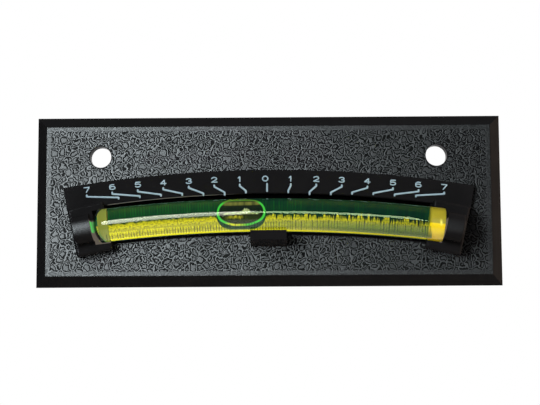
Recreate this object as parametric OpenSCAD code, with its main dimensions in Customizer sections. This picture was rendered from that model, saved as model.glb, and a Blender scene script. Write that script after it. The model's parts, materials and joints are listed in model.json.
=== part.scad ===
// Stick-on level: a moulded wall plate that carries a curved spirit vial.
// The plate is drawn lying on its back, X to the right, Y up the face and
// Z out of the face, and upright() then stands it against a wall at Y = 0.

/* [Plate] */
// Width of the plate
plate_w = 140; // [134:1:180]
// Height of the plate
plate_h = 51.5; // [48:0.5:80]
// Depth of the plate from its rim to its face
plate_t = 3.7; // [3.5:0.1:6]
// Width and depth of the bevel round the face
bevel = 3.2; // [1:0.1:3.4]
// Thickness of the wall behind the face
face_wall = 2; // [1.5:0.1:3]
// Width of the rim round the hollow back
rim_w = 3; // [2.5:0.1:6]

/* [Screw holes] */
// Diameter of each screw hole
hole_d = 6.4; // [4:0.1:8]
// Distance between the two screw holes
hole_spacing = 101; // [96:1:112]
// Distance from the plate's top edge down to the holes
hole_drop = 12.4; // [10:0.1:14]
// Wall of the boss behind each hole
boss_wall = 2; // [1:0.1:3]

/* [Scale band] */
// Radius of the band's lower edge
band_r = 365; // [330:1:420]
// Height of the band
band_h = 7.2; // [5:0.1:8]
// How far the band stands out of the face
band_rise = 1.5; // [0.8:0.1:3]
// Angle that the band spans to each side, in degrees
band_half_angle = 9.5; // [8.5:0.1:10]
// Gap between the vial and the band at the middle
band_gap = 1.95; // [1:0.05:3]
// Chamfer along the band's front edges
band_chamfer = 0.3; // [0.1:0.05:0.6]

/* [Vial] */
// Outer diameter of the vial
vial_d = 10; // [9:0.1:12]
// Diameter of the vial's bore
bore_d = 7; // [6.6:0.1:8]
// Radius that the vial's axis is bent to
vial_r = 415; // [380:5:600]
// Height of the vial's axis at the middle, from the plate's centre
vial_y = -5.1; // [-7:0.1:-2]
// Gap between the vial and the face
vial_gap = 1; // [0.5:0.1:3]
// Half the length of the liquid column, along the vial
column_half = 47.2; // [44:0.1:49]
// Thickness of the vial's closed end, and length of the plug
end_t = 4.5; // [3.5:0.1:6]
// How far the closed end domes out
dome_rise = 2; // [0.5:0.1:2.5]
// Chamfer on the plug's inner end
plug_chamfer = 0.5; // [0.2:0.1:1]
// Clearance of the plug and the liquid in the bore
bore_clear = 0.02; // [0.01:0.01:0.05]
// Gap between the liquid and each end of the bore
end_clear = 0.05; // [0.03:0.01:0.2]

/* [Bubble] */
// Length of the bubble
bubble_l = 14.7; // [9:0.1:20]
// Diameter of the bubble
bubble_d = 6.2; // [4.5:0.1:6.2]
// Place of the bubble along the vial, in degrees from the middle
bubble_deg = -1.1; // [-4:0.1:4]
// Film of liquid between the bubble and the top of the bore
film = 0.15; // [0.1:0.05:0.3]
// Room round the bubble in the liquid
bubble_room = 0.25; // [0.2:0.05:0.3]

/* [Vial seats] */
// Lean of each end seat from upright, in degrees
seat_lean = 12.4; // [9:0.1:15]
// How far each seat reaches in under the vial
seat_in = 4.5; // [3:0.1:7]
// How far each seat reaches out past the vial's end
seat_out = 6.25; // [5.8:0.05:8]
// Width of the seat's wall above the vial
seat_top = 2.05; // [1.5:0.05:3]
// Width of the seat's wall below the vial
seat_foot = 2.55; // [1.5:0.05:4]
// Height of the seat's walls in front of the face
seat_rise = 5; // [4:0.1:5.8]
// Rounding of the seat's front edges
seat_round = 0.8; // [0.3:0.1:1.2]
// Diameter of the round stop at the vial's end
stop_d = 8.3; // [7:0.1:9]
// Length of the round stop
stop_l = 5.3; // [4:0.1:5.6]
// Rounding of the stop's outer end
stop_round = 0.6; // [0.3:0.1:1.2]
// Wall left round the hollow behind each stop
core_wall = 1.4; // [1:0.1:1.8]
// Clearance of the vial in its seats and clip
vial_clear = 0.1; // [0.05:0.05:0.3]

/* [Centre clip] */
// Width of the clip
clip_w = 10.7; // [6:0.1:14]
// Thickness of the clip at its tip
clip_tip = 2.8; // [2:0.1:4]
// Extra thickness of the clip at its root
clip_flare = 1.4; // [0.5:0.1:2.5]
// How far the clip stands in front of the vial's axis
clip_reach = 3; // [1.5:0.1:4]
// How far the clip's tip grips past the vial's underside
clip_grip = 0.4; // [0.1:0.05:0.6]

/* [Adhesive pad] */
// Width of the foam pad
pad_w = 84; // [60:1:86]
// Height of the foam pad
pad_h = 25.4; // [15:0.1:30]
// How far the pad stands out of the plate's back
pad_proud = 0.3; // [0.1:0.1:1]

/* [Hidden] */
$fn = 96;
over = 1;
face = pad_proud + plate_t;
recess_floor = face - face_wall;
axis_out = face + vial_gap + vial_d / 2;
vial_centre = vial_y - vial_r;
band_centre = vial_y + vial_d / 2 + band_gap - band_r;
column_deg = arc_deg(column_half);
liquid_deg = arc_deg(column_half - end_clear);
vial_end_deg = arc_deg(column_half + end_t);
pocket_deg = arc_deg(column_half + end_t + vial_clear);
// A seat leans more than the vial's end does, so its stop stands back by the difference at the vial's skin
stop_back = vial_clear + vial_d / 2 * sin(seat_lean - vial_end_deg);
stop_deg = arc_deg(column_half + end_t + stop_back);
bubble_lift = bore_d / 2 - bubble_d / 2 - film;
dome_r = (pow(vial_d / 2, 2) + pow(dome_rise, 2)) / (2 * dome_rise);

// Angle that a length along the vial's axis spans
function arc_deg(length) = length / vial_r * 180 / PI;

// Stands the drawing up against the wall
module upright() {
    rotate([90, 0, 0]) children();
}

// Carries a section, drawn as radius and height above the wall, round a centre from one angle to
// another, with angles counted from straight up and positive to the right
module swept(centre, from_deg, to_deg) {
    translate([0, centre, 0])
        rotate([0, 0, 90 - to_deg])
            rotate_extrude(angle = to_deg - from_deg, $fn = 720)
                children();
}

// A round bar along the vial's axis
module vial_bar(diameter, from_deg, to_deg) {
    swept(vial_centre, from_deg, to_deg)
        translate([vial_r, axis_out])
            circle(d = diameter);
}

// Places a child on the vial's axis, with X along the vial and Y away from its centre of bend
module on_vial(at_deg) {
    translate([0, vial_centre, 0])
        rotate([0, 0, -at_deg])
            translate([0, vial_r, axis_out])
                children();
}

// Places a child at the right-hand stop's foot on the face, turned to the seat's lean
module on_seat() {
    translate([vial_r * sin(stop_deg), vial_centre + vial_r * cos(stop_deg), 0])
        rotate([0, 0, -seat_lean])
            children();
}

// One part at the right, and its mirror image at the left
module both_ends() {
    children();
    mirror([1, 0, 0]) children();
}

// Both screw holes' places
module at_holes() {
    for (side = [-1, 1])
        translate([side * hole_spacing / 2, plate_h / 2 - hole_drop, 0])
            children();
}

// Section of a bevelled slab of one width
module bevel_section(width) {
    half = width / 2;
    polygon([
        [-half, pad_proud], [half, pad_proud], [half, face - bevel],
        [half - bevel, face], [bevel - half, face], [-half, face - bevel]
    ]);
}

// Section of a bar with its two front corners rounded
module round_section(low, high, top, rounding) {
    translate([low, face - over])
        square([high - low, top - rounding - face + over]);
    translate([low + rounding, face - over])
        square([high - low - 2 * rounding, top - face + over]);
    for (side = [low + rounding, high - rounding])
        translate([side, top - rounding])
            circle(r = rounding, $fn = 48);
}

// The plate's bevelled slab, hollow behind
module plate_slab() {
    difference() {
        intersection() {
            rotate([90, 0, 0])
                linear_extrude(plate_h, center = true)
                    bevel_section(plate_w);
            rotate([90, 0, 90])
                linear_extrude(plate_w, center = true)
                    bevel_section(plate_h);
        }
        translate([rim_w - plate_w / 2, rim_w - plate_h / 2, pad_proud - over])
            cube([plate_w - 2 * rim_w, plate_h - 2 * rim_w, recess_floor - pad_proud + over]);
    }
}

// The raised arc that carries the scale
module scale_band() {
    low = face - face_wall / 2;
    top = face + band_rise;
    swept(band_centre, -band_half_angle, band_half_angle)
        polygon([
            [band_r, low], [band_r + band_h, low], [band_r + band_h, top - band_chamfer],
            [band_r + band_h - band_chamfer, top], [band_r + band_chamfer, top],
            [band_r, top - band_chamfer]
        ]);
}

// The block that holds one end of the vial, with the round stop behind the vial's end
module end_seat() {
    top = face + seat_rise;
    above = vial_d / 2 + seat_top;
    below = vial_d / 2 + seat_foot;
    on_seat() {
        intersection() {
            translate([-seat_in, 0, 0])
                rotate([90, 0, 90])
                    linear_extrude(seat_in + seat_out)
                        round_section(-below, above, top, seat_round);
            translate([0, above, 0])
                rotate([90, 0, 0])
                    linear_extrude(above + below)
                        round_section(-seat_in, seat_out, top, seat_round);
        }
        translate([0, 0, axis_out])
            rotate([0, 90, 0])
                rotate_extrude()
                    round_stop_section();
        translate([0, -stop_d / 2, face])
            cube([stop_l - stop_round, stop_d, axis_out - face]);
    }
}

// Half section of the stop, with its outer edge rounded
module round_stop_section() {
    square([stop_d / 2, stop_l - stop_round]);
    square([stop_d / 2 - stop_round, stop_l]);
    translate([stop_d / 2 - stop_round, stop_l - stop_round])
        circle(r = stop_round, $fn = 48);
}

// The hollow that opens to the back behind one stop
module stop_core() {
    core_d = stop_d - 2 * core_wall;
    core_l = stop_l - 2 * core_wall;
    on_seat()
        translate([core_wall, 0, 0]) {
            translate([0, -core_d / 2, recess_floor - over])
                cube([core_l, core_d, axis_out - recess_floor + over]);
            translate([0, 0, axis_out])
                rotate([0, 90, 0])
                    cylinder(d = core_d, h = core_l);
        }
}

// The clip that the middle of the vial snaps behind
module centre_clip() {
    lip = vial_y - vial_d / 2 + clip_grip;
    tip = axis_out + clip_reach;
    translate([-clip_w / 2, 0, 0])
        rotate([90, 0, 90])
            linear_extrude(clip_w)
                polygon([
                    [lip, face - face_wall / 2], [lip, tip], [lip - clip_tip, tip],
                    [lip - clip_tip - clip_flare, face], [lip - clip_tip - clip_flare, face - face_wall / 2]
                ]);
}

module backing_plate() {
    color([0.09, 0.09, 0.1])
        upright()
            difference() {
                union() {
                    plate_slab();
                    at_holes()
                        translate([0, 0, pad_proud])
                            cylinder(d = hole_d + 2 * boss_wall, h = recess_floor - pad_proud + over / 2);
                    scale_band();
                    both_ends() end_seat();
                    centre_clip();
                }
                at_holes()
                    translate([0, 0, pad_proud - over])
                        cylinder(d = hole_d, h = plate_t + 2 * over);
                vial_bar(vial_d + 2 * vial_clear, -pocket_deg, pocket_deg);
                both_ends() stop_core();
            }
}

module vial_tube() {
    color([0.85, 0.95, 0.8, 0.5])
        upright()
            difference() {
                intersection() {
                    vial_bar(vial_d, -vial_end_deg, vial_end_deg);
                    union() {
                        on_vial(-vial_end_deg)
                            translate([dome_r, 0, 0]) {
                                sphere(r = dome_r);
                                translate([0, -vial_r, -vial_d])
                                    cube([3 * column_half, 2 * vial_r, 2 * vial_d]);
                            }
                    }
                }
                vial_bar(bore_d, -column_deg, vial_end_deg + arc_deg(over));
            }
}

module vial_plug() {
    plug_r = bore_d / 2 - bore_clear;
    color([0.75, 0.72, 0.12])
        upright()
            on_vial((column_deg + vial_end_deg) / 2)
                translate([end_t / 2, 0, 0])
                    rotate([0, -90, 0])
                        rotate_extrude()
                            polygon([
                                [0, 0], [plug_r, 0], [plug_r, end_t - plug_chamfer],
                                [plug_r - plug_chamfer, end_t], [0, end_t]
                            ]);
}

// The bubble's capsule, grown by a margin all round
module bubble_form(margin) {
    radius = bubble_d / 2 + margin;
    run = bubble_l - bubble_d;
    on_vial(bubble_deg)
        translate([-run / 2, bubble_lift, 0])
            rotate([0, 90, 0]) {
                cylinder(r = radius, h = run);
                for (end = [0, run])
                    translate([0, 0, end])
                        sphere(r = radius);
            }
}

module vial_liquid() {
    color([0.55, 0.75, 0.1])
        upright()
            difference() {
                vial_bar(bore_d - 2 * bore_clear, -liquid_deg, liquid_deg);
                bubble_form(bubble_room);
            }
}

module air_bubble() {
    color([0.85, 0.95, 0.9])
        upright()
            bubble_form(0);
}

module foam_pad() {
    color([0.92, 0.92, 0.9])
        upright()
            translate([-pad_w / 2, -pad_h / 2, 0])
                cube([pad_w, pad_h, recess_floor]);
}

backing_plate();
vial_tube();
vial_plug();
vial_liquid();
air_bubble();
foam_pad();
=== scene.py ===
import json
import math

import bpy
import numpy as np
from mathutils import Matrix


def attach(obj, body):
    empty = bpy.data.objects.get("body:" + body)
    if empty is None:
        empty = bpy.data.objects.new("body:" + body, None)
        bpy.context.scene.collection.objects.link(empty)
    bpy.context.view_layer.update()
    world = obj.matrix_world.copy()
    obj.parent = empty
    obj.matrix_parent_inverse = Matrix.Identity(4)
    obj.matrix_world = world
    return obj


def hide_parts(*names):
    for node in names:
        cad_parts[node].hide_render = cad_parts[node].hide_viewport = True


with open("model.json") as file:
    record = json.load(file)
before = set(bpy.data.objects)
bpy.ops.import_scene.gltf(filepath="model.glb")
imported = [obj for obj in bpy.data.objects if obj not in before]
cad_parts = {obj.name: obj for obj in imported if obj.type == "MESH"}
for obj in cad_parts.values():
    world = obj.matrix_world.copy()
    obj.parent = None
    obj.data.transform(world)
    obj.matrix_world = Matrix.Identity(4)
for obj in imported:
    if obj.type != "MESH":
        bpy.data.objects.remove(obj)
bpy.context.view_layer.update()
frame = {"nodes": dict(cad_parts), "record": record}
scene = bpy.context.scene
scene.view_settings.view_transform = "Standard"
mm = 0.001  # lengths below are in millimetres until they reach a mesh
black, white = (0, 0, 0), (1, 1, 1)
print("frame loaded:", len(frame["nodes"]), "CAD nodes")


# a socket of a shader tree that takes part in Python sums
class Value:
    def __init__(self, tree, socket=None):
        self.tree = tree
        self.socket = socket

    # adds a node: settings first, then each input's value or link, with colours as red, green and blue
    def make(self, kind, settings=None, inputs=None, out=0):
        node = self.tree.nodes.new(kind)
        for name, setting in (settings or {}).items():
            if name == "stops":
                fillRamp(node.color_ramp, setting)
            else:
                setattr(node, name, setting)
        for key, given in (inputs or {}).items():
            socket = node.inputs[key]
            if isinstance(given, Value):
                self.tree.links.new(given.socket, socket)
            elif socket.type == "RGBA":
                socket.default_value = (*given, 1.0)
            else:
                socket.default_value = given
        return Value(self.tree, node.outputs[out])

    def math(self, operation, *others):
        return self.make("ShaderNodeMath", {"operation": operation}, dict(enumerate((self, *others))))

    def __add__(self, other):
        return self.math("ADD", other)

    def __sub__(self, other):
        return self.math("SUBTRACT", other)

    def __rsub__(self, other):
        return self.make("ShaderNodeMath", {"operation": "SUBTRACT"}, {0: other, 1: self})

    def __mul__(self, other):
        return self.math("MULTIPLY", other)

    def __truediv__(self, other):
        return self.math("DIVIDE", other)

    def __abs__(self):
        return self.math("ABSOLUTE")

    __radd__ = __add__
    __rmul__ = __mul__

    # the larger of this and another
    def most(self, other):
        return self.math("MAXIMUM", other)

    # the long side of a right angle whose short sides are this and another
    def hypot(self, other):
        return (self * self + other * other).math("SQRT")

    # a start plus a gain times this
    def lifted(self, start, gain):
        return start + self * gain

    # a noise, which runs from 0 to 1, as a sway of some amount about a middle
    def sway(self, middle, amount):
        return middle + (self - 0.5) * amount

    # 0 below low, 1 above high, and an S-shaped rise between them
    def rise(self, low, high):
        inputs = {"Value": self, "From Min": low, "From Max": high}
        return self.make("ShaderNodeMapRange", {"interpolation_type": "SMOOTHSTEP"}, inputs)

    # 1 below low, 0 above high
    def fall(self, low, high):
        return 1 - self.rise(low, high)

    # 1 from lowFull to highFull, fading out to 0 at low and at high
    def within(self, low, lowFull, highFull, high):
        return self.rise(low, lowFull) * self.fall(highFull, high)

    # 1 at the middle, fading out to 0 at reach to each side
    def near(self, middle, reach):
        return abs(self - middle).fall(0.0, reach)

    # a colour ramp over the value
    def ramp(self, stops):
        return self.make("ShaderNodeValToRGB", {"stops": stops}, {"Fac": self})

    # goes from one colour to another by this value, through the node's own colour sockets
    def blend(self, first, second):
        inputs = {"Factor": self, 6: first, 7: second}
        return self.make("ShaderNodeMix", {"data_type": "RGBA"}, inputs, out=2)

    # goes from one shader to another by this value
    def mix(self, first, second):
        return self.make("ShaderNodeMixShader", {}, {0: self, 1: first, 2: second})

    def shader(self, inputs):
        return self.make("ShaderNodeBsdfPrincipled", {}, inputs)

    def noise(self, scale, detail, rough=0.5):
        inputs = {"Vector": self, "Scale": scale, "Detail": detail, "Roughness": rough}
        return self.make("ShaderNodeTexNoise", {}, inputs)

    # noise along one line
    def lineNoise(self, scale, detail, start):
        inputs = {"W": self + start, "Scale": scale, "Detail": detail}
        return self.make("ShaderNodeTexNoise", {"noise_dimensions": "1D"}, inputs)

    def bump(self, strength, distance):
        inputs = {"Height": self, "Strength": strength, "Distance": distance}
        return self.make("ShaderNodeBump", {}, inputs)

    def part(self, axis):
        return self.make("ShaderNodeSeparateXYZ", {}, {"Vector": self}, out=axis)


# a new ramp has two stops to start with
def fillRamp(ramp, stops):
    for index, (place, tint) in enumerate(stops):
        stop = ramp.elements[index] if index < 2 else ramp.elements.new(place)
        stop.position = place
        stop.color = (*tint, 1.0)


# gives a material or world the shader that a function works out
def finishWith(owner, outputKind, finish):
    owner.use_nodes = True
    tree = owner.node_tree
    tree.nodes.clear()
    output = tree.nodes.new(outputKind)
    tree.links.new(finish(Value(tree)).socket, output.inputs["Surface"])


# the material named after the function that works out its shader
def materialFor(finish):
    material = bpy.data.materials.get(finish.__name__)
    if material is None:
        material = bpy.data.materials.new(finish.__name__)
        finishWith(material, "ShaderNodeOutputMaterial", finish)
    return material


def objectPoint(root):
    return root.make("ShaderNodeTexCoord", out="Object")


# a point's own place along one axis, in millimetres
def placeAlong(root, axis):
    return objectPoint(root).part(axis) * (1 / mm)


def attribute(root, name):
    return root.make("ShaderNodeAttribute", {"attribute_name": name}, out="Fac")


def newObject(name, data):
    item = bpy.data.objects.new(name, data)
    scene.collection.objects.link(item)
    return item


# stands a camera or lamp at a place, with its back to a direction and turned by a roll
def stand(item, place, back, roll=0.0):
    right = np.cross((0, 0, 1), back)
    right = right / np.linalg.norm(right)
    up = np.cross(back, right)
    turnedRight = right * math.cos(roll) + up * math.sin(roll)
    turnedUp = up * math.cos(roll) - right * math.sin(roll)
    matrix = np.eye(4)
    matrix[:3] = np.column_stack([turnedRight, turnedUp, back, place])
    item.matrix_world = Matrix(matrix.tolist())


def newSurface(name, points, faces, finishes):
    mesh = bpy.data.meshes.new(name)
    mesh.from_pydata((points * mm).tolist(), [], faces.tolist())
    for finish in finishes:
        mesh.materials.append(materialFor(finish))
    return newObject(name, mesh)


# a smooth surface that rides on a body
def newPiece(name, points, faces, finishes, body, faceKinds=None):
    piece = newSurface(name, points, faces, finishes)
    mesh = piece.data
    if faceKinds is not None:
        mesh.polygons.foreach_set("material_index", faceKinds.astype(np.int32))
    mesh.polygons.foreach_set("use_smooth", np.ones(len(mesh.polygons), dtype=bool))
    mesh.validate()
    mesh.update()
    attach(piece, body)
    return piece


# angles all the way round
def turns(steps):
    return np.linspace(0, 2 * np.pi, steps, endpoint=False)


def pointRows(x, y, z):
    return np.stack(np.broadcast_arrays(x, y, z), axis=-1).reshape(-1, 3)


# the four-cornered faces of a grid of rows by columns, closed round its rows if asked
def gridFaces(rows, columns, closed=False):
    index = np.arange(rows * columns).reshape(rows, columns)
    if closed:
        index = np.concatenate([index, index[:, :1]], axis=1)
    corners = (index[:-1, :-1], index[:-1, 1:], index[1:, 1:], index[1:, :-1])
    return np.stack([corner.ravel() for corner in corners], axis=1)


# turns every face round if the closed form comes out with its faces inwards
def facesOut(points, faces):
    a, b, c, d = (points[faces[:, k]] for k in range(4))
    volume = np.sum(a * np.cross(b, c)) + np.sum(a * np.cross(c, d))
    return faces if volume > 0 else faces[:, ::-1]


# joins a run of corner points with straight steps no longer than a given step
def walk(corners, step):
    corners = np.asarray(corners, dtype=float)
    runs = np.hypot(*np.diff(corners, axis=0).T)
    counts = np.maximum(1, np.ceil(runs / step).astype(int))
    parts = [
        start + (end - start) * np.arange(count)[:, None] / count
        for start, end, count in zip(corners[:-1], corners[1:], counts)
    ]
    return np.concatenate(parts + [corners[-1:]])


# camera at the photographed angle
view = {
    "aim": (0.44, -4.0, -0.68),
    "distance": 390.0,
    "azimuth": 0.52,
    "elevation": -6.15,
    "roll": -0.29,
    "focalPixels": 1301.0,
    "imageWidth": 540.0,
    "sensorWidth": 36.0,
    "clip": (0.01, 20.0),  # metres
}


def makeCamera():
    azimuth, elevation, roll = (math.radians(view[k]) for k in ("azimuth", "elevation", "roll"))
    back = np.array([
        math.sin(azimuth) * math.cos(elevation),
        -math.cos(azimuth) * math.cos(elevation),
        math.sin(elevation),
    ])
    lens = bpy.data.cameras.new("photoCamera")
    lens.sensor_fit = "HORIZONTAL"
    lens.sensor_width = view["sensorWidth"]
    lens.lens = view["focalPixels"] / view["imageWidth"] * lens.sensor_width
    lens.clip_start, lens.clip_end = view["clip"]
    camera = newObject("photoCamera", lens)
    stand(camera, (np.array(view["aim"]) + back * view["distance"]) * mm, back, roll)
    scene.camera = camera


makeCamera()
print("camera placed")

studio = {
    "roomColour": (0.05, 0.0515, 0.0535),
    "backdropEdge": (0.45, 0.65),
    "floorHeight": -170,
    "floorRadii": (0.5, 480),
    "floorGrid": (24, 64),
    "floorFade": (0.20, 0.44),  # metres
    "floorColour": (0.82, 0.82, 0.81),
    "floorRoughness": 0.85,
}

# A matt key light from the front, a sheen from the left for the grain, a panel, a bar and a strip that the
# vial mirrors, a warm fill from the right and a light behind. A lamp that isn't matt gives highlights only.
panelTint = (0.97, 1.0, 0.82)
lamps = {
    "key": {"place": (-60, -420, 220), "aim": (0, 0, 0), "size": (300, 220), "watts": 2.4, "gloss": False},
    "sheen": {"place": (-200, -235, 40), "aim": (-85, -4, 0), "size": (190, 190), "watts": 2.16,
              "tint": (0.87, 0.965, 1.0), "spread": 68.0, "matt": False},
    "panel": {"place": (-80, -520, 104), "aim": (47, -10, -5), "size": (125, 280), "watts": 0.085,
              "tint": panelTint, "spread": 38.0, "matt": False},
    "bar": {"place": (-80, -520, 175), "aim": (-20, -10, -5), "size": (125, 56), "watts": 0.17,
            "tint": panelTint, "matt": False},
    "strip": {"place": (47, -520, 140), "aim": (20, -10, -5), "size": (128, 130), "watts": 0.47,
              "tint": (0.72, 1.0, 0.55), "matt": False},
    "warm": {"place": (330, 40, 30), "aim": (60, 0, 0), "size": (200, 160), "watts": 2.1,
             "tint": (1.0, 0.75, 0.57), "gloss": False},
    "back": {"place": (140, 430, 190), "aim": (0, 0, 0), "size": (300, 220), "watts": 1.7, "gloss": False},
}


def makeLamp(name, place, aim, size, watts, tint=white, spread=180.0, matt=True, gloss=True):
    light = bpy.data.lights.new(name + "Lamp", "AREA")
    light.shape = "RECTANGLE"
    light.size, light.size_y = (side * mm for side in size)
    light.energy = watts
    light.color = tint
    light.spread = math.radians(spread)
    lamp = newObject(name + "Lamp", light)
    place, aim = np.array(place) * mm, np.array(aim) * mm
    stand(lamp, place, (place - aim) / np.linalg.norm(place - aim))
    lamp.visible_camera = False
    lamp.visible_diffuse = matt
    lamp.visible_glossy = gloss
    lamp.visible_transmission = False


# keeps a lamp's light to the named pieces
def lightOnly(lampName, pieceNames):
    lamp = bpy.data.objects[lampName + "Lamp"]
    group = bpy.data.collections.new(lamp.name + "Group")
    for name in pieceNames:
        group.objects.link(bpy.data.objects[name])
    lamp.light_linking.receiver_collection = group


# a dim room that the camera sees as white, and a mirror or a clear piece too where it looks past the object
def studioRoom(root):
    behind = root.make("ShaderNodeTexCoord", out="Generated").part("Y").rise(*studio["backdropEdge"])
    seen, mirrored, through = (root.make("ShaderNodeLightPath", out=kind)
                               for kind in ("Is Camera Ray", "Is Glossy Ray", "Is Transmission Ray"))
    shade = seen.most(behind * mirrored.most(through)).blend(studio["roomColour"], white)
    return root.make("ShaderNodeBackground", {}, {"Color": shade})


# matt, fading out before the floor's edge
def paleFloor(root):
    reach = root.make("ShaderNodeVectorMath", {"operation": "LENGTH"}, {0: objectPoint(root)}, out="Value")
    matt = root.shader({"Base Color": studio["floorColour"], "Roughness": studio["floorRoughness"]})
    clear = root.make("ShaderNodeBsdfTransparent")
    return reach.rise(*studio["floorFade"]).mix(matt, clear)


# a round floor: row t lies at a growing radius and column a goes round
def makeFloor():
    rings, spokes = studio["floorGrid"]
    radii = np.linspace(*studio["floorRadii"], rings)[:, None]
    around = turns(spokes)
    points = pointRows(radii * np.cos(around), radii * np.sin(around), studio["floorHeight"])
    floor = newSurface("floor", points, gridFaces(rings, spokes, closed=True), [paleFloor])


scene.world = bpy.data.worlds.new("studioRoom")
finishWith(scene.world, "ShaderNodeOutputWorld", studioRoom)
for name, settings in lamps.items():
    makeLamp(name, **settings)
makeFloor()
print("studio lit")

# the bubble turns about the centre of the vial's bend
bendCentre = [place / mm for place in frame["record"]["behaviour"]["joints"][0]["pos_m"]]

vial = {
    "bendRadius": 415.0,
    "bendCentreZ": bendCentre[2],
    "axisY": bendCentre[1],
    "outerRadius": 4.998,
    "boreRadius": 3.5,
    "columnHalf": 47.2,
    "halfLength": 51.7,
    "domeRadius": 7.25,
    "domeRise": 2.0,
    "domeRows": 16,
    "edgeRound": 0.3,
    "edgeRows": 6,
    "coreRadius": 3.48,
    "poleRadius": 0.002,
    "step": 1.0,
    "tubeSteps": 128,
    "coreSteps": 72,
    "glassIndex": 1.49,
}


# a point's place across the level, and how far it lies outside the vial's axis line, both in millimetres
def vialPlace(root):
    x = placeAlong(root, "X")
    away = x.hypot(placeAlong(root, "Z") - vial["bendCentreZ"]) - vial["bendRadius"]
    return x, away


# how far a point lies behind the vial's axis
def behindAxis(root):
    return placeAlong(root, "Y") - vial["axisY"]


# 1 on the left half of the level and 0 on the right
def onLeft(x):
    return x.fall(-1.0, 1.0)


plate = {
    "halfWidth": 66.8,
    "halfHeight": 22.55,
    "faceY": -4.0,
    "bandRadius": 368.6,
    "bandCentreZ": -363.15,
    "holeX": 50.5,
    "holeZ": 13.35,
    "holeRadius": 3.2,
}

grain = {
    "step": 0.13,
    "parts": 3,
    "rows": {"Upper": 176, "Lower": 214},
    "lift": 0.01,
    "depth": 0.06,
    "sunk": 0.02,
    "edge": 0.01,
    "margin": (1.25, 1.55),
    "holeBorder": 0.3,
    "seed": 41,
    "cellPitch": 1.9,
    "spareCells": 4,
    "jitter": (0.08, 0.92),
    "waves": 7,
    "waveSizes": (0.6, 1.7),
    "warpReach": (0.24, 0.07),
    "warpLength": (2.6, 1.1),
    "ridgeHalf": (0.12, 0.18),
    "islandStart": (0.45, 0.51),
    "islandHeight": (0.7, 0.3),
}


# a smooth wandering field: a sum of sine waves of mixed direction and length
def wander(x, z, length, rng):
    total = np.zeros_like(x)
    for _ in range(grain["waves"]):
        angle, phase = rng.uniform(0, 2 * np.pi, 2)
        size = length * rng.uniform(*grain["waveSizes"])
        total += np.sin((x * np.cos(angle) + z * np.sin(angle)) * 2 * np.pi / size + phase)
    return total / math.sqrt(grain["waves"] / 2)


# 0 below low, 1 above high, and three times the square less twice the cube between them
def smoothStep(low, high, value):
    t = np.clip((value - low) / (high - low), 0, 1)
    return t * t * (3 - 2 * t)


# how far a place lies inside the outline of the face
def faceInset(x, z):
    return np.minimum(plate["halfWidth"] - np.abs(x), plate["halfHeight"] - np.abs(z))


# Leather-like cells round jittered points. The distance from a place to the border between two cells is
# half the difference of its squared distances to the two points over the distance between them.
def cellBorders(x, z):
    rng = np.random.default_rng(grain["seed"])
    pitch, spare = grain["cellPitch"], grain["spareCells"]
    columns, rows = (int(2 * plate[half] / pitch) + 2 * spare + 1 for half in ("halfWidth", "halfHeight"))
    jitter = rng.uniform(*grain["jitter"], (rows, columns, 2))
    seedX = (np.arange(columns)[None, :] - spare + jitter[..., 0]) * pitch - plate["halfWidth"]
    seedZ = (np.arange(rows)[:, None] - spare + jitter[..., 1]) * pitch - plate["halfHeight"]
    tones = rng.uniform(0, 1, (rows, columns))
    warpX, warpZ = x, z
    for reach, length in zip(grain["warpReach"], grain["warpLength"]):
        warpX = warpX + reach * wander(x, z, length, rng)
        warpZ = warpZ + reach * wander(x, z, length, rng)
    span = 2  # cells looked at to each side
    column = np.floor((warpX + plate["halfWidth"]) / pitch).astype(int) + spare
    row = np.floor((warpZ + plate["halfHeight"]) / pitch).astype(int) + spare
    column, row = np.clip(column, span, columns - 1 - span), np.clip(row, span, rows - 1 - span)
    around = range(-span, span + 1)
    cells = [(row + dz, column + dx) for dz in around for dx in around]
    squares = [(seedX[cell] - warpX) ** 2 + (seedZ[cell] - warpZ) ** 2 for cell in cells]
    nearest, own = np.min(squares, axis=0), np.argmin(squares, axis=0)
    ownX, ownZ, ownTone = (np.choose(own, [kind[cell] for cell in cells]) for kind in (seedX, seedZ, tones))
    border = np.full(x.shape, np.inf)
    for cell, square in zip(cells, squares):
        apart = np.hypot(seedX[cell] - ownX, seedZ[cell] - ownZ)
        far = (square - nearest) / (2 * apart + 1e-9)
        border = np.where((apart > 1e-6) & (far < border), far, border)
    return border, ownTone


# relief of the face: 1 on the ridges between cells, 0 in the groove round each cell, and up again inside
def grainRelief(x, z):
    border, tone = cellBorders(x, z)
    ridge = 1 - smoothStep(*grain["ridgeHalf"], border)
    start, gain = grain["islandHeight"]
    island = smoothStep(*grain["islandStart"], border) * (start + gain * tone)
    margin = 1 - smoothStep(*grain["margin"], faceInset(x, z))
    relief = np.maximum(np.maximum(ridge, island), margin)
    return relief, border, tone, margin


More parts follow.
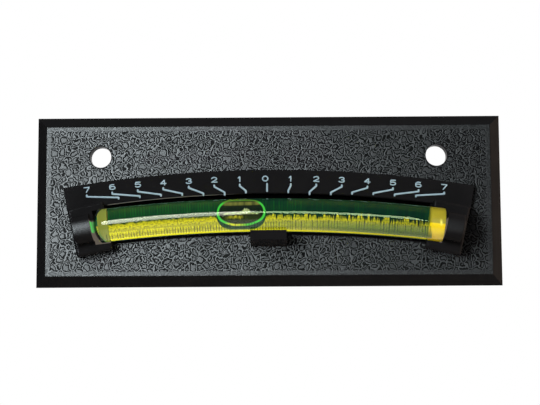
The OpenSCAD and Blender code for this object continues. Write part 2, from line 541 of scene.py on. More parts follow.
# The skin on the face: column u runs across, and row v runs up to or from an arc under the scale band. It
# stands out by the relief. Its outer border and the edges of the screw holes fold into the face.
def makeSkin(name, ends, half):
    rows, columns = grain["rows"][half], int((ends[1] - ends[0]) / grain["step"]) + 1
    across = np.linspace(*ends, columns)
    arc = plate["bandCentreZ"] + np.sqrt(plate["bandRadius"] ** 2 - across ** 2)
    low, high = (arc, plate["halfHeight"]) if half == "Upper" else (-plate["halfHeight"], arc)
    x = np.broadcast_to(across, (rows, columns)).copy()
    z = low + (high - low) * np.linspace(0, 1, rows)[:, None]
    inHole, holeEdgeShade = (np.zeros(x.shape, dtype=bool) for _ in range(2))
    for side in (-1, 1):
        dx, dz = x - side * plate["holeX"], z - plate["holeZ"]
        far = np.hypot(dx, dz) + 1e-9
        within = far < plate["holeRadius"]
        pull = np.where(within, plate["holeRadius"] / far, 1.0)
        x, z = side * plate["holeX"] + dx * pull, plate["holeZ"] + dz * pull
        inHole |= within
        holeEdgeShade |= far < plate["holeRadius"] + grain["holeBorder"]
    relief, border, tone, margin = grainRelief(x, z)
    groove = (grain["ridgeHalf"][1] + grain["islandStart"][0]) / 2
    # painted shade: a ring round each hole takes the grooves' dark, dull look
    border = np.where(holeEdgeShade, groove, border)
    folded = inHole | (faceInset(x, z) < grain["edge"])
    height = np.where(folded, -grain["sunk"], grain["lift"] + grain["depth"] * relief)
    points = pointRows(x, plate["faceY"] - height, z)
    faces = gridFaces(rows, columns)
    faces = faces[~inHole.ravel()[faces].all(axis=1)]
    used = np.unique(faces)
    renumber = np.zeros(len(points), dtype=int)
    renumber[used] = np.arange(len(used))
    piece = newPiece(name, points[used], renumber[faces], [grainedPlastic], "level")
    for kind, values in (("border", border), ("tone", tone), ("margin", margin)):
        layer = piece.data.attributes.new(kind, "FLOAT", "POINT")
        layer.data.foreach_set("value", values.ravel()[used].astype(np.float32))


# In the settings of the looks, an edge or a fade has its low and high end, a noise its scale, detail and
# roughness or start, a roughness its middle and sway, and a share, cover or relief its start and gain.

# Painted light: emission on the plate behind the vial that stands in for the light the vial throws there,
# by the height above its axis. The lowest shows as a bright line in the vial's lower half, with the heights
# above it to both sides of that line.
paintedGlow = {
    "strength": 1.62,
    "spread": 0.0000378,
    "band": (-4.2, -3.0, 1.9, 2.6),
    "ends": (47.72, 47.82),
    "leftBulge": (0.33, 0.24),
    "leftBulgeReach": 0.9,
    "rightEnd": (22.0, 46.0),
    "rightEndShare": (1.0, -0.28),
    "fade": (-45.0, 40.0),
    "leftColours": (
        (0.0, (0.40, 0.36, 0.035)), (0.113, (0.80, 0.57, 0.033)),
        (0.125, (0.41, 0.31, 0.038)), (0.16, (0.41, 0.31, 0.038)),
        (0.20, (0.66, 0.475, 0.026)), (0.40, (0.73, 0.52, 0.024)),
        (0.52, (0.48, 0.355, 0.028)), (0.60, (0.95, 0.70, 0.06)),
    ),
    "rightColours": (
        (0.0, (0.25, 0.27, 0.045)), (0.11, (0.19, 0.205, 0.047)),
        (0.15, (0.20, 0.195, 0.040)), (0.27, (0.29, 0.235, 0.036)),
        (0.35, (0.50, 0.36, 0.030)), (0.43, (0.48, 0.355, 0.030)),
        (0.52, (0.25, 0.22, 0.026)), (0.60, (0.62, 0.43, 0.045)),
    ),
    "blot": (1.9, 2.0, 0.6),
    "blotStretch": 6.0,
    "blotEdge": (0.42, 0.54),
    "blotBand": (0.14, 0.19, 0.45, 0.55),
    "blotCover": 0.75,
    "blotColour": (0.13, 0.125, 0.02),
}


# painted light: bright bands along the vial with blots in them, greener and dimmer towards the right
def paintedCausticLight(x, away):
    bulge = away.near(*paintedGlow["leftBulge"]) * onLeft(x)
    lit = away.within(*paintedGlow["band"]) * (abs(x) - bulge * paintedGlow["leftBulgeReach"]).fall(*paintedGlow["ends"])
    lit = lit * x.rise(*paintedGlow["rightEnd"]).lifted(*paintedGlow["rightEndShare"])
    left, right = (away.ramp(paintedGlow[side]) for side in ("leftColours", "rightColours"))
    tint = x.rise(*paintedGlow["fade"]).blend(left, right)
    place = x.make("ShaderNodeCombineXYZ", {}, {"X": x, "Y": away * paintedGlow["blotStretch"]})
    blot = place.noise(*paintedGlow["blot"]).fall(*paintedGlow["blotEdge"]) * away.within(*paintedGlow["blotBand"])
    tint = (blot * paintedGlow["blotCover"]).blend(tint, paintedGlow["blotColour"])
    return lit.blend(black, tint)


skin = {
    "dust": (5200.0, 3.0, 0.6),
    "cloud": (70.0, 2.0),
    "wave": (900.0, 2.0),
    "waveReach": 0.12,
    # the grooves' near black is painted shade in the recesses
    "grooveShadeColour": (0.001, 0.001, 0.0011),
    "grooveRoughness": 0.85,
    "grooveShine": 0.05,
    "islandColour": (0.007, 0.008, 0.009),
    "paleIslandColour": (0.012, 0.013, 0.014),
    "paleShares": (0.6, 0.4),
    "ridgeColour": (0.017, 0.019, 0.020),
    "marginColour": (0.008, 0.009, 0.010),
    "roughness": (0.62, 0.12),
    "shine": 0.66,
    "islandRelief": (0.6, 0.3),
    "dustRelief": 0.06,
    "bump": (0.3, 0.00008),
    "wearAndHighlight": (0.75, 0.12),
    "wearCloud": 0.3,
    "ridgeCover": 0.49,
    "islandCover": (0.34, 0.09),
    "marginCover": (0.205, 0.04),
    "leftMarginShade": (-66.0, -46.0),
    "vialShadow": (-5.8, -5.1, 7.5, 9.0),
    "shadowEnds": (48.0, 50.0),
}


# The relief again, from the distance to the cell border, so that the grooves stay sharp between the points.
# Ridges, islands and margin shine by their cover. The grooves are dull, and so is the band behind and below
# the vial, a painted shadow.
def grainedPlastic(root):
    point = objectPoint(root)
    border, tone, margin = (attribute(root, name) for name in ("border", "tone", "margin"))
    dust, cloud, wave = (point.noise(*skin[kind]) for kind in ("dust", "cloud", "wave"))
    wobble = wave.sway(border, skin["waveReach"])
    island = wobble.rise(*grain["islandStart"])
    ridge = wobble.fall(*grain["ridgeHalf"])
    toneShare, dustShare = skin["paleShares"]
    top = (tone * toneShare + dust * dustShare).blend(skin["islandColour"], skin["paleIslandColour"])
    base = margin.blend(ridge.blend(top, skin["ridgeColour"]), skin["marginColour"])
    height = ridge.most(island * tone.lifted(*skin["islandRelief"])).most(margin)
    relief = height + dust * skin["dustRelief"]
    x, away = vialPlace(root)
    # painted shade: the margin shines less towards the left end, where the sheen falls brightest
    rim = margin * x.rise(*skin["leftMarginShade"]).lifted(*skin["marginCover"])
    wearAndPaintedHighlight = cloud.sway(dust.sway(*skin["wearAndHighlight"]), skin["wearCloud"])
    cover = (ridge * skin["ridgeCover"]).most(island * tone.lifted(*skin["islandCover"])).most(rim) * wearAndPaintedHighlight
    away = away - x * x * paintedGlow["spread"]
    # painted shadow: dull and dark behind and below the vial, which itself casts no shadow
    shadow = away.within(*skin["vialShadow"]) * abs(x).fall(*skin["shadowEnds"])
    # painted light of the vial, as emission on the plate
    light = {"Emission Color": paintedCausticLight(x, away), "Emission Strength": paintedGlow["strength"]}
    groove = {"Base Color": skin["grooveShadeColour"], "Roughness": skin["grooveRoughness"], **light}
    low = root.shader({**groove, "Specular IOR Level": skin["grooveShine"]})
    dark = root.shader({**groove, "Specular IOR Level": 0.0})
    high = root.shader({
        "Base Color": base,
        "Roughness": dust.sway(*skin["roughness"]),
        "Specular IOR Level": skin["shine"],
        "Normal": relief.bump(*skin["bump"]),
        **light,
    })
    return shadow.mix(cover.mix(low, high), dark)


skinEnds = np.linspace(-plate["halfWidth"], plate["halfWidth"], grain["parts"] + 1)
skinNames = []
for index, ends in enumerate(zip(skinEnds[:-1], skinEnds[1:]), 1):
    for half in ("Upper", "Lower"):
        skinNames.append(f"grain{half}{index}")
        makeSkin(skinNames[-1], ends, half)
print("grained face made")

satin = {
    "cloud": (140.0, 3.0, 0.55),
    "peel": (1500.0, 2.0),
    "peelBump": (0.12, 0.00003),
    "baseColour": (0.0075, 0.0075, 0.008),
    "paleColour": (0.012, 0.012, 0.0127),
    "roughness": (0.10, 0.06),
    "shine": 0.004,
    "seatY": (-5.95, -5.65),
    "stopX": 52.12,
    "stopZ": -8.39,
    "stopLean": 12.4,
    "stopFace": (0.02, 0.06),
    "stopRoughness": (0.52, 0.1),
    "stopShine": 0.08,
    "stopLightColour": (0.105, 0.088, 0.070),
    "drumReach": (4.30, 4.45),
    "drumBand": (-2.8, -1.2, 0.9, 2.3),
    "pocketReach": (5.22, 5.32),
    "pocketEnd": (46.6, 46.9),
    "pocketFoot": (-4.4, -3.7),
    "pocketLightColour": (0.215, 0.235, 0.032),
    "paleOliveLight": (0.28, 0.32, 0.045),
    "oliveCloud": (500.0, 2.0),
    "oliveFade": (-50.0, -47.0),
    "stopLight": (50.2, 50.5),
    "stopLightTop": (1.6, 2.3),
    "patchHalf": (1.5, 1.8),
    "patchY": (-12.8, -12.5, -9.2, -8.8),
    "greenPatchLight": (0.07, 0.50, 0.09),
    "bandFoot": 365.0,
    "wearAndHighlight": (-0.25, -0.10, 0.10, 0.22),
    "highlightY": (-5.1, -4.9),
    "highlightX": (-25.0, -5.0),
    "highlightEnds": (47.5, 48.5),
    "highlightColour": (0.30, 0.30, 0.29),
}


# Moulded black plastic: smooth, but scuffed on the drums of the stops, with a painted highlight along the
# band's foot at the left. The pocket behind the vial's closed end and the stops' faces take some of the
# vial's light as painted light, by emission.
def satinPlastic(root):
    point = objectPoint(root)
    cloud = point.noise(*satin["cloud"])
    x, away = vialPlace(root)
    depth, height = (placeAlong(root, axis) for axis in "YZ")
    wide = abs(x)
    reach = away.hypot(behindAxis(root))
    lean = math.radians(satin["stopLean"])
    aside = (wide - satin["stopX"]) * math.cos(lean) - (height - satin["stopZ"]) * math.sin(lean)
    stop = aside.rise(*satin["stopFace"])
    seat = depth.fall(*satin["seatY"])
    drum = seat * stop * reach.fall(*satin["drumReach"]) * away.within(*satin["drumBand"])
    # painted light: emission on the pocket behind the dome and on the stops' faces stands for the vial's
    # light on them
    pocket = reach.fall(*satin["pocketReach"]) * wide.rise(*satin["pocketEnd"]) * (1 - stop)
    pale = (point.noise(*satin["oliveCloud"]) + x.rise(*satin["oliveFade"])) / 2
    olive = pale.blend(satin["pocketLightColour"], satin["paleOliveLight"])
    olive = away.rise(*satin["pocketFoot"]).blend(satin["stopLightColour"], olive)
    patch = abs(away).fall(*satin["patchHalf"]) * depth.within(*satin["patchY"]) * onLeft(x)
    stopLight = patch.blend(satin["stopLightColour"], satin["greenPatchLight"])
    nearStop = wide.rise(*satin["stopLight"])
    light = nearStop.blend(onLeft(x).blend(black, olive), stopLight)
    light = (pocket * (1 - away.rise(*satin["stopLightTop"]) * nearStop)).blend(black, light)
    # painted highlight: a pale line along the band's foot at the left
    edge = x.hypot(height - plate["bandCentreZ"]) - satin["bandFoot"]
    wearAndPaintedHighlight = edge.within(*satin["wearAndHighlight"]) * depth.fall(*satin["highlightY"])
    wearAndPaintedHighlight = wearAndPaintedHighlight * x.fall(*satin["highlightX"]) * wide.fall(*satin["highlightEnds"])
    base = cloud.blend(satin["baseColour"], satin["paleColour"])
    inputs = {
        "Base Color": wearAndPaintedHighlight.blend(base, satin["highlightColour"]),
        "Roughness": cloud.sway(*satin["roughness"]),
        "Specular IOR Level": satin["shine"],
        "Normal": point.noise(*satin["peel"]).bump(*satin["peelBump"]),
        "Emission Color": light,
        "Emission Strength": 1.0,
    }
    scuffs = {"Roughness": cloud.sway(*satin["stopRoughness"]), "Specular IOR Level": satin["stopShine"]}
    return drum.mix(root.shader(inputs), root.shader({**inputs, **scuffs}))


plateNode = frame["nodes"]["backing_plate"]
plateNode.data.materials.clear()
plateNode.data.materials.append(materialFor(satinPlastic))
print("plate dressed")

marks = {
    "faceY": -5.5,
    "height": 0.14,
    "heightStep": 0.001,  # strokes that cross lie at slightly different heights
    "heightSteps": 5,
    "arcRadius": 482.0,
    "largest": 7,
    "numeralPitch": 7.63,
    "numeralShift": -0.95,
    "numeralZ": 6.35,
    "numeralSize": (1.95, 1.78),
    "numeralStroke": 0.36,
    "tickPitch": 6.345,
    "tickShift": -0.4,
    "leaderStroke": 0.54,
    "leaderTop": 4.7,
    "leaderStub": 0.45,
    "zeroRise": 0.1,
    "slantEnds": (3.6, 2.77, 2.44, 2.40, 2.70, 2.78, 2.84, 3.00),
    "tickEnds": (2.60, 2.22, 1.72, 1.88, 2.24, 2.43, 2.50, 2.68),
    "step": 0.12,
    "capSteps": 5,
    "tipShare": 0.05,
    "sectionAcross": (-1.0, -0.93, -0.72, 0.0, 0.72, 0.93, 1.0),
    "sectionRise": (-0.03, 0.6, 1.0, 1.04, 1.0, 0.6, -0.03),
    "cloud": (420.0, 3.0, 0.6),
    "speck": (6000.0, 2.0),
    "paintColours": (
        (0.30, (0.3116, 0.4472, 0.528)), (0.60, (0.38, 0.52, 0.60)),
        (0.80, (0.418, 0.5512, 0.624)),
    ),
    "roughness": (0.42, 0.2),
    "bump": (0.15, 0.00002),
}


# part of an ellipse, angles in degrees counted from the right and upwards
def bow(centreX, centreZ, radiusX, radiusZ, start, end, count=22):
    turn = np.radians(np.linspace(start, end, count))
    return np.column_stack([centreX + radiusX * np.cos(turn), centreZ + radiusZ * np.sin(turn)])


# strokes of a figure in a box that is one wide and one high about its middle
def figureStrokes(figure):
    line, join = np.array, np.concatenate
    return {
        0: [bow(0, 0, 0.5, 0.5, 90, 450, 40)],
        1: [line([(-0.26, 0.22), (0.02, 0.5), (0.02, -0.5)])],
        2: [join([bow(0, 0.2, 0.46, 0.3, 165, -35), line([(-0.5, -0.5), (0.5, -0.5)])])],
        3: [bow(-0.02, 0.25, 0.44, 0.25, 155, -90), bow(-0.02, -0.25, 0.5, 0.25, 90, -155)],
        4: [line([(0.22, -0.5), (0.22, 0.5), (-0.5, -0.2), (0.5, -0.2)])],
        5: [join([line([(0.42, 0.5), (-0.36, 0.5), (-0.44, 0.04)]), bow(0, -0.19, 0.5, 0.31, 128, -150)])],
        6: [join([bow(0.04, 0.1, 0.54, 0.4, 60, 180, 14), bow(0.0, -0.2, 0.5, 0.3, 180, 540, 34)])],
        7: [line([(-0.48, 0.5), (0.5, 0.5), (-0.12, -0.5)])],
    }[figure]


# A raised stroke: row t goes along the path, with half-round ends, and column c goes over a section that
# rises from the band on one side, runs flat over the top and falls on the other side.
def strokeSurface(path, width, height):
    path = walk(path, marks["step"])
    ahead = np.gradient(path, axis=0)
    ahead = ahead / np.linalg.norm(ahead, axis=1)[:, None]
    capSteps = marks["capSteps"]
    bend = np.linspace(0, np.pi / 2, capSteps + 1)[1:]
    half = width / 2
    startCap = path[0] - ahead[0] * half * np.sin(bend[::-1])[:, None]
    endCap = path[-1] + ahead[-1] * half * np.sin(bend)[:, None]
    spine = np.concatenate([startCap, path, endCap])
    ahead = np.concatenate([np.repeat(ahead[:1], capSteps, 0), ahead, np.repeat(ahead[-1:], capSteps, 0)])
    shrink = np.concatenate([np.cos(bend[::-1]), np.ones(len(path)), np.cos(bend)])
    side = np.column_stack([-ahead[:, 1], ahead[:, 0]])
    offsets = np.array(marks["sectionAcross"]) * half
    rises = np.array(marks["sectionRise"]) * height
    flat = spine[:, None, :] + side[:, None, :] * (offsets[:, None] * shrink[:, None, None])
    rise = rises * np.where(shrink < marks["tipShare"], 0.0, 1.0)[:, None]
    return np.stack([flat[..., 0], marks["faceY"] - rise, flat[..., 1]], axis=-1)


# how far the scale's arc has come down at x
def dropOnArc(x):
    return x * x / (2 * marks["arcRadius"])


# paths and widths: each numeral leans with the arc, and a leader slants from it to its place over the vial
def scaleStrokes():
    strokes = []
    width, tall = (side - marks["numeralStroke"] for side in marks["numeralSize"])
    for count in range(-marks["largest"], marks["largest"] + 1):
        figure = abs(count)
        topX = marks["numeralShift"] + marks["numeralPitch"] * count
        lean = topX / marks["arcRadius"]
        centreZ = marks["numeralZ"] - dropOnArc(topX)
        for path in figureStrokes(figure):
            u, v = path[:, 0] * width, path[:, 1] * tall
            turned = np.column_stack([
                topX + u * math.cos(lean) + v * math.sin(lean),
                centreZ + v * math.cos(lean) - u * math.sin(lean),
            ])
            strokes.append((turned, marks["numeralStroke"]))
        lowX = marks["tickShift"] + marks["tickPitch"] * count
        top = marks["leaderTop"] - dropOnArc(topX)
        slant, end = (marks[kind][figure] - dropOnArc(lowX) for kind in ("slantEnds", "tickEnds"))
        if figure == 0:
            leader = [(lowX, top + marks["zeroRise"]), (lowX, end)]
        else:
            leader = [(topX, top), (topX, top - marks["leaderStub"]), (lowX, slant), (lowX, end)]
        strokes.append((leader, marks["leaderStroke"]))
    return strokes


def makeMarks():
    points, faces, total = [], [], 0
    for index, (path, width) in enumerate(scaleStrokes()):
        extra = marks["heightStep"] * (index % marks["heightSteps"])
        surface = strokeSurface(path, width, marks["height"] + extra)
        rows, columns = surface.shape[:2]
        points.append(surface.reshape(-1, 3))
        faces.append(gridFaces(rows, columns) + total)
        total += rows * columns
    return np.concatenate(points), np.concatenate(faces)


def markPaint(root):
    point = objectPoint(root)
    speck = point.noise(*marks["speck"])
    return root.shader({
        "Base Color": point.noise(*marks["cloud"]).ramp(marks["paintColours"]),
        "Roughness": speck.sway(*marks["roughness"]),
        "Normal": speck.bump(*marks["bump"]),
    })


markPoints, markFaces = makeMarks()
newPiece("scaleMarks", markPoints, markFaces, [markPaint], "level")
print("scale marks made")


# A section of (length, radius) rows turned round the vial's bent axis: row t lies at that length along the
# axis, and column a goes round. A point is the axis point at the length plus the radius times direction a.
def bentPiece(name, section, steps, finishes, body, lift=0.0, faceKinds=None):
    lengths, radii = section[:, :1], section[:, 1:]
    around = turns(steps)
    bend = lengths / vial["bendRadius"]
    outward = vial["bendRadius"] + lift + radii * np.sin(around)
    depth = vial["axisY"] + radii * np.cos(around)
    points = pointRows(outward * np.sin(bend), depth, vial["bendCentreZ"] + outward * np.cos(bend))
    faces = facesOut(points, gridFaces(len(section), steps, closed=True))
    return newPiece(name, points, faces, finishes, body, faceKinds)


# the tube from the pole of its dome, along the outside, round the open rim and back along the bore
def tubeSection():
    outer, bore, pole = vial["outerRadius"], vial["boreRadius"], vial["poleRadius"]
    end, dome, edge, step = vial["halfLength"], vial["domeRadius"], vial["edgeRound"], vial["step"]
    inward = np.linspace(0, vial["domeRise"], vial["domeRows"])
    domeRun = np.column_stack([inward - end, np.sqrt(dome ** 2 - (dome - inward) ** 2)])
    domeRun[0, 1] = pole
    turn = np.linspace(0, np.pi / 2, vial["edgeRows"])
    rimRun = (end - edge, outer - edge) + edge * np.column_stack([np.sin(turn), np.cos(turn)])
    outside = np.concatenate([domeRun, walk([domeRun[-1], rimRun[0]], step)[1:], rimRun[1:], [(end, bore)]])
    closed = -vial["columnHalf"]
    boreCorners = [(end, bore), (closed + edge, bore), (closed, bore - edge), (closed, pole)]
    return np.concatenate([outside, walk(boreCorners, step)[1:]]), len(outside)


# upright lines over the vial
comb = {
    "pitch": 0.8,
    "line": (-0.3, 0.6),
    "drift": (0.55, 2.0, 0.0),
    "driftReach": 3.0,
    "depth": (0.9, 1.0, 90.0),
    "depthEdge": (0.20, 0.50),
    "streak": (1.8, 3.0, 60.0),
    "streakEdge": (0.42, 0.58),
    "streakFade": (-10.0, 15.0),
}


# 1 on the lines and 0 between them: a sine over x that a noise pushes about, of uneven depth
def combLines(x):
    drift = x.lineNoise(*comb["drift"])
    depth = x.lineNoise(*comb["depth"]).rise(*comb["depthEdge"])
    streak = x.lineNoise(*comb["streak"]).rise(*comb["streakEdge"])
    uneven = x.rise(*comb["streakFade"])
    depth = depth * (1 - uneven) + streak * uneven
    wave = (x * (2 * math.pi / comb["pitch"]) + drift * comb["driftReach"]).math("SINE")
    return wave.rise(*comb["line"]) * depth


acrylic = {
    "clear": (0.97, 1.0, 0.96),
    "ends": (47.60, 47.75),
    "front": (-1.0, 1.0),
    "fade": (-30.0, 40.0),
    "crownLeft": (0.000002, 0.00012, 0.06),
    "crownRight": (0.0000006, 0.00004, 0.04),
    "crownLineLeft": (0.00006, 0.0130, 0.16),
    "crownLineRight": (0.00001, 0.0085, 0.12),
    "crownEdge": (0.26, 0.50),
    "crownSpread": 0.000034,
    "crownDepth": (1.0, 2.0),
    "spikes": (((1.9, 2.0, 40.0), (0.35, 1.2)), ((0.5, 2.0, 70.0), (0.25, 0.9))),
    "spikeFade": (-20.0, 30.0),
    "clump": (0.5, 3.0, 33.0),
    "clumpEdge": (0.36, 0.62),
    "clumpCover": (0.25, 0.85),
    "foot": (-4.62, -4.45),
    "bellyShade": (0.065, 0.17, 0.14),
    "bellyTop": (-3.9, -1.6),
    "bellyFade": (-12.0, 30.0),
    "lineLeft": (0.30, 0.32, 0.35),
    "lineRight": (0.04, 0.11, 0.20),
    "lineTop": (-3.15, -2.9),
    "lineClimb": 1.8,
    "domeTint": (0.20, 0.60, 0.90),
    "domeReach": (1.5, 2.4),
    "domeTop": (-1.2, 0.0),
    "paintedRimColour": (0.0012, 0.009, 0.006),
    "rimReach": (1.30, 1.45),
    "rimRoughness": 0.05,
    "rimShine": 0.2,
}


# Clear, with painted shade in its colour: deep green behind its crown that darkens what the upper half
# shows, with a spiky lower edge, a dimmer green low at the right, upright lines over both, and an opaque
# dark green rim round the dome.
def clearAcrylic(root):
    x, away = vialPlace(root)
    depth = behindAxis(root)
    body = abs(x).fall(*acrylic["ends"])
    across = x.rise(*acrylic["fade"])
    deep, deepLine, line = (across.blend(acrylic[kind + "Left"], acrylic[kind + "Right"])
                            for kind in ("crown", "crownLine", "line"))
    lines = combLines(x)
    rough = x.rise(*acrylic["spikeFade"])
    height = away - x * x * acrylic["crownSpread"]
    for spike, reach in acrylic["spikes"]:
        height = x.lineNoise(*spike).sway(height, rough.lifted(*reach))
    # painted shade: deep green behind the crown darkens what the upper half shows
    crown = height.rise(*acrylic["crownEdge"]) * depth.rise(*acrylic["crownDepth"]) * body
    clump = x.lineNoise(*acrylic["clump"]).rise(*acrylic["clumpEdge"])
    deep = (lines * clump.lifted(*acrylic["clumpCover"])).blend(deep, deepLine)
    tint = crown.blend(acrylic["clear"], deep)
    footless = away.rise(*acrylic["foot"]) * depth.fall(*acrylic["front"]) * body
    # painted shade: a dim green low at the right
    bellyShade = away.fall(*acrylic["bellyTop"]) * x.rise(*acrylic["bellyFade"]) * footless
    tint = bellyShade.blend(tint, acrylic["bellyShade"])
    lined = lines * (away - across * acrylic["lineClimb"]).fall(*acrylic["lineTop"]) * footless
    tint = lined.blend(tint, line)
    bulge = vial["domeRadius"] - (vial["domeRadius"] ** 2 - away * away).math("SQRT")
    inset = x * (1 - away / vial["bendRadius"]) + vial["halfLength"] - bulge
    dome = inset.fall(*acrylic["domeReach"]) * away.fall(*acrylic["domeTop"])
    clear = root.shader({
        "Base Color": dome.blend(tint, acrylic["domeTint"]),
        "Roughness": 0.0,
        "IOR": vial["glassIndex"],
        "Transmission Weight": 1.0,
    })
    # painted shade: an opaque dark green rim round the dome
    rim = root.shader({
        "Base Color": acrylic["paintedRimColour"],
        "Roughness": acrylic["rimRoughness"],
        "Specular IOR Level": acrylic["rimShine"],
    })
    return inset.rise(*acrylic["rimReach"]).mix(rim, clear)


# where the liquid wets the bore, light goes straight through
def wettedBore(root):
    return root.make("ShaderNodeBsdfTransparent")


tubeRows, outsideRows = tubeSection()
tubeKinds = np.repeat(np.arange(len(tubeRows) - 1) >= outsideRows - 1, vial["tubeSteps"])
tube = bentPiece("vialTube", tubeRows, vial["tubeSteps"], [clearAcrylic, wettedBore],
                 "level", faceKinds=tubeKinds)
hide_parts("vial_tube")
tube.visible_shadow = False  # clear pieces let the light through

liquid = {
    "endGap": 0.05,
    "chamfer": 0.2,
    "tint": (0.86, 0.95, 0.45),
    "paintedGlow": (0.0008, 0.007, 0.007),
}


# a round bar with a chamfer at each end
def liquidSection():
    end = vial["columnHalf"] - liquid["endGap"]
    radius, chamfer, pole = vial["coreRadius"], liquid["chamfer"], vial["poleRadius"]
    right = [(end - chamfer, radius), (end, radius - chamfer), (end, pole)]
    left = [(-length, height) for length, height in reversed(right)]
    return walk(left + right, vial["step"])


# clear and tinted, with faint painted light as emission
def levelLiquid(root):
    clear = root.make("ShaderNodeBsdfTransparent", {}, {"Color": liquid["tint"]})
    light = root.make("ShaderNodeEmission", {}, {"Color": liquid["paintedGlow"]})
    return root.make("ShaderNodeAddShader", {}, {0: clear, 1: light})


liquidPiece = bentPiece("liquidColumn", liquidSection(), vial["coreSteps"], [levelLiquid],
                        "level")
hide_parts("vial_liquid")
liquidPiece.visible_shadow = False

bubble = {
    "length": 14.7,
    "radius": 3.1,
    "degrees": -1.1,
    "lift": 0.25,
    "capLength": 4.6,
    "capRows": 20,
    "middleRows": 16,
    "front": (-0.2, 0.2),
    "straightHalf": (1.2, 1.55),
    "straightRise": (-0.7, 0.5),
    "rimSquash": (-0.09, 0.955),
    "rimPlace": (0.82, 0.86),
    "paintedRimColour": (0.07, 0.62, 0.12),
    "paintedRimYellow": (0.85, 0.80, 0.06),
    "yellowTop": (-0.80, -0.60),
    "yellowAlong": (-2.0, 4.5),
    "paintedRimOlive": (0.10, 0.24, 0.04),
    "oliveFoot": (0.75, 0.92),
    "skirtPlace": (0.94, 0.97),
    "skirtShadeColour": (0.003, 0.050, 0.020),
    "paintedInsideColours": (
        (0.00, (0.010, 0.016, 0.004)), (0.25, (0.022, 0.026, 0.005)),
        (0.42, (0.010, 0.010, 0.003)), (0.70, (0.006, 0.007, 0.002)),
        (0.82, (0.012, 0.012, 0.003)), (0.86, (0.20, 0.185, 0.07)),
        (0.94, (0.23, 0.21, 0.08)), (0.975, (0.03, 0.04, 0.012)),
    ),
    "insideCover": 0.97,
    "uneven": (0.7, 3.0, 17.0),
    "jagged": (1.6, 2.0, 5.0),
    "shadeEdge": (0.30, 0.60),
    "shadeCover": 0.6,
    "shadeColour": (0.012, 0.013, 0.004),
    "crestStart": 0.02,
    "crests": ((0.75, (1.5, 2.4)), (0.22, (-2.2, 3.4))),
    "gleamFoot": (-0.08, -0.04),
    "gleamTop": (-0.02, 0.03),
    "gleamEnds": (4.6, 5.6),
    "gleamEdge": (0.35, 0.65),
    "gleamCover": (0.35, 0.65),
    "gleamColour": (0.72, 0.77, 0.72),
    "fleckSway": 0.4,
    "fleckPlace": (-0.08, 0.20),
    "fleckEdge": (0.34, 0.58),
    "fleckAlong": (-1.6, 3.6),
    "litFleckColour": (0.55, 0.47, 0.03),
}


# A hollow whose front is painted with light and shade, as emission: dark inside, an olive band near its
# top, a jagged painted highlight across its middle, a few yellow flecks of painted light below that, and a
# green ring of painted light round its outline, yellow at the foot and olive at the top.
def bubbleAir(root):
    x, away = vialPlace(root)
    along = x - vial["bendRadius"] * math.sin(math.radians(bubble["degrees"]))
    up = (away - bubble["lift"]) / bubble["radius"]
    straight = up.rise(*bubble["straightRise"]).lifted(*bubble["straightHalf"])
    cap = (abs(along) - straight).most(0.0) / (bubble["length"] / 2 - straight)
    outline = cap.hypot(up.lifted(*bubble["rimSquash"]))
    ringed = outline.rise(*bubble["rimPlace"])
    yellow = up.fall(*bubble["yellowTop"]) * along.near(*bubble["yellowAlong"])
    ring = yellow.blend(bubble["paintedRimColour"], bubble["paintedRimYellow"])
    ring = up.rise(*bubble["oliveFoot"]).blend(ring, bubble["paintedRimOlive"])
    ring = outline.rise(*bubble["skirtPlace"]).blend(ring, bubble["skirtShadeColour"])
    uneven, jagged = (along.lineNoise(*bubble[kind]) for kind in ("uneven", "jagged"))
    shade = uneven.fall(*bubble["shadeEdge"]) * bubble["shadeCover"]
    inside = shade.blend((up * 0.5 + 0.5).ramp(bubble["paintedInsideColours"]), bubble["shadeColour"])
    tall, low = (along.near(*spot) * height for height, spot in bubble["crests"])
    crest = bubble["crestStart"] + jagged * (tall + low)
    gleam = up.rise(*bubble["gleamFoot"]) * (up - crest).fall(*bubble["gleamTop"])
    gleam = gleam * abs(along).fall(*bubble["gleamEnds"])
    gleam = gleam * jagged.rise(*bubble["gleamEdge"]).lifted(*bubble["gleamCover"])
    inside = gleam.blend(inside, bubble["gleamColour"])
    litFleck = (up + jagged * bubble["fleckSway"]).near(*bubble["fleckPlace"])
    litFleck = litFleck * uneven.rise(*bubble["fleckEdge"]) * along.near(*bubble["fleckAlong"])
    inside = litFleck.blend(inside, bubble["litFleckColour"])
    # all the colours above are painted light and shade, shown as emission on the bubble's front
    light = root.shader({
        "Base Color": black,
        "Roughness": 1.0,
        "Specular IOR Level": 0.0,
        "Emission Color": ringed.blend(inside, ring),
        "Emission Strength": 1.0,
    })
    glass = root.make("ShaderNodeBsdfGlass", {}, {"Roughness": 0.0, "IOR": 1 / vial["glassIndex"]})
    front = behindAxis(root).fall(*bubble["front"])
    return (ringed.most(bubble["insideCover"]) * front).mix(glass, light)


# a straight middle with a quarter of an ellipse turned at each end
def bubbleSection():
    turn = np.linspace(0, np.pi / 2, bubble["capRows"])
    cap = np.column_stack([bubble["capLength"] * np.cos(turn), bubble["radius"] * np.sin(turn)])
    cap[0, 1] = vial["poleRadius"]
    half = bubble["length"] / 2 - bubble["capLength"]
    lengths = np.linspace(-half, half, bubble["middleRows"] + 2)[1:-1]
    middle = np.column_stack([lengths, np.full_like(lengths, bubble["radius"])])
    leftCap = cap * (-1, 1) - (half, 0)
    rightCap = cap[::-1] + (half, 0)
    restLength = math.radians(bubble["degrees"]) * vial["bendRadius"]
    return np.concatenate([leftCap, middle, rightCap]) + (restLength, 0)


bubblePiece = bentPiece("airBubble", bubbleSection(), vial["coreSteps"], [bubbleAir],
                        "bubble", lift=bubble["lift"])
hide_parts("air_bubble")
bubblePiece.visible_shadow = False

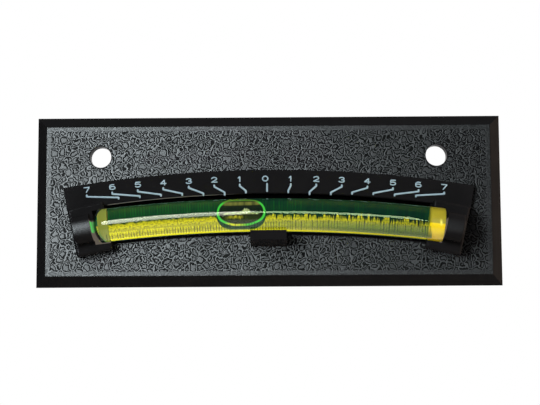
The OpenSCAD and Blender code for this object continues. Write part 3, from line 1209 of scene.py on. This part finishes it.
plug = {
    "chamfer": 0.5,
    "endGap": 0.02,
    "step": 0.5,
    "cloud": (700.0, 2.0),
    "roughness": (0.35, 0.2),
    "shadedTopColour": (0.36, 0.30, 0.02),
    "litFootColour": (0.95, 0.68, 0.0),
    "footTop": (-0.18, 0.12),
    "streak": (50.4, 0.55),
    "streakHeight": (0.2, 1.3),
    "highlightStreakColour": (1.0, 0.86, 0.12),
    "paintedGlow": 0.10,
}


# a round bar with a chamfer at the end that meets the liquid
def plugSection():
    inner, outer = vial["columnHalf"] + plug["endGap"], vial["halfLength"] - plug["endGap"]
    radius, chamfer, pole = vial["coreRadius"], plug["chamfer"], vial["poleRadius"]
    corners = [(inner, pole), (inner, radius - chamfer), (vial["columnHalf"] + chamfer, radius)]
    return walk(corners + [(outer, radius), (outer, pole)], plug["step"])


# yellow plastic with painted shade on its top, painted light on its foot, a painted highlight streak and
# faint painted light as emission
def plugPlastic(root):
    x, away = vialPlace(root)
    base = away.rise(*plug["footTop"]).blend(plug["litFootColour"], plug["shadedTopColour"])
    streak = x.near(*plug["streak"]) * away.near(*plug["streakHeight"])
    base = streak.blend(base, plug["highlightStreakColour"])
    return root.shader({
        "Base Color": base,
        "Roughness": objectPoint(root).noise(*plug["cloud"]).sway(*plug["roughness"]),
        "Emission Color": base,
        "Emission Strength": plug["paintedGlow"],
    })


plugPiece = bentPiece("vialPlug", plugSection(), vial["coreSteps"], [plugPlastic],
                      "level")
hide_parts("vial_plug")
print("vial made")

foam = {
    "halfWidth": 42.0,
    "halfHeight": 12.7,
    "thick": 2.0,
    "waist": 0.22,
    "cornerPower": 26,
    "steps": 400,
    "faceRows": 14,
    "sideRows": 9,
    "edgeInset": 0.02,
    "poleScale": 0.0005,
    "colour": (0.83, 0.82, 0.77),
    "poreColour": (0.58, 0.57, 0.52),
    "poreScale": 2600.0,
    "poreEdge": (0.15, 0.55),
    "poreBump": (0.5, 0.00015),
    "cloud": (160.0, 3.0, 0.6),
    "cloudCover": (0.7, 0.3),
    "roughness": (0.8, 0.2),
}


# The pad: column a goes round a rectangle with round corners, and row t goes from the middle of the back,
# over the edge, down the side, which is drawn in a little at mid thickness, and to the middle of the front.
def makeFoam():
    around = turns(foam["steps"])
    c, s = np.cos(around), np.sin(around)
    power = foam["cornerPower"]
    reach = (np.abs(c) ** power + np.abs(s) ** power) ** (-1 / power)
    faceRows, sideRows = foam["faceRows"], foam["sideRows"]
    inward = np.linspace(1, foam["edgeInset"], faceRows)
    scale = 1 - np.concatenate([inward, np.zeros(sideRows), inward[::-1]])
    scale[0] = scale[-1] = foam["poleScale"]
    fall = np.concatenate([np.zeros(faceRows), np.linspace(0, 1, sideRows + 2)[1:-1], np.ones(faceRows)])
    waist = foam["waist"] * np.sin(np.pi * fall)
    x, z = ((foam[half] - waist[:, None]) * side * reach * scale[:, None]
            for half, side in (("halfWidth", c), ("halfHeight", s)))
    points = pointRows(x, -foam["thick"] * fall[:, None], z)
    return points, gridFaces(len(fall), foam["steps"], closed=True)


def padFoam(root):
    point = objectPoint(root)
    inputs = {"Vector": point, "Scale": foam["poreScale"]}
    pore = point.make("ShaderNodeTexVoronoi", {"feature": "F1"}, inputs)
    cloud = point.noise(*foam["cloud"])
    wall = pore.rise(*foam["poreEdge"]) * cloud.lifted(*foam["cloudCover"])
    return root.shader({
        "Base Color": wall.blend(foam["poreColour"], foam["colour"]),
        "Roughness": cloud.sway(*foam["roughness"]),
        "Normal": pore.bump(*foam["poreBump"]),
    })


foamPoints, foamFaces = makeFoam()
foamPiece = newPiece("foamPad", foamPoints, facesOut(foamPoints, foamFaces),
                     [padFoam], "level")
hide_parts("foam_pad")
print("foam pad made")

for name in ("panel", "bar", "strip"):
    lightOnly(name, ["vialTube", "liquidColumn", "airBubble", "vialPlug"])
lightOnly("sheen", skinNames + [plateNode.name])

bpy.context.view_layer.update()
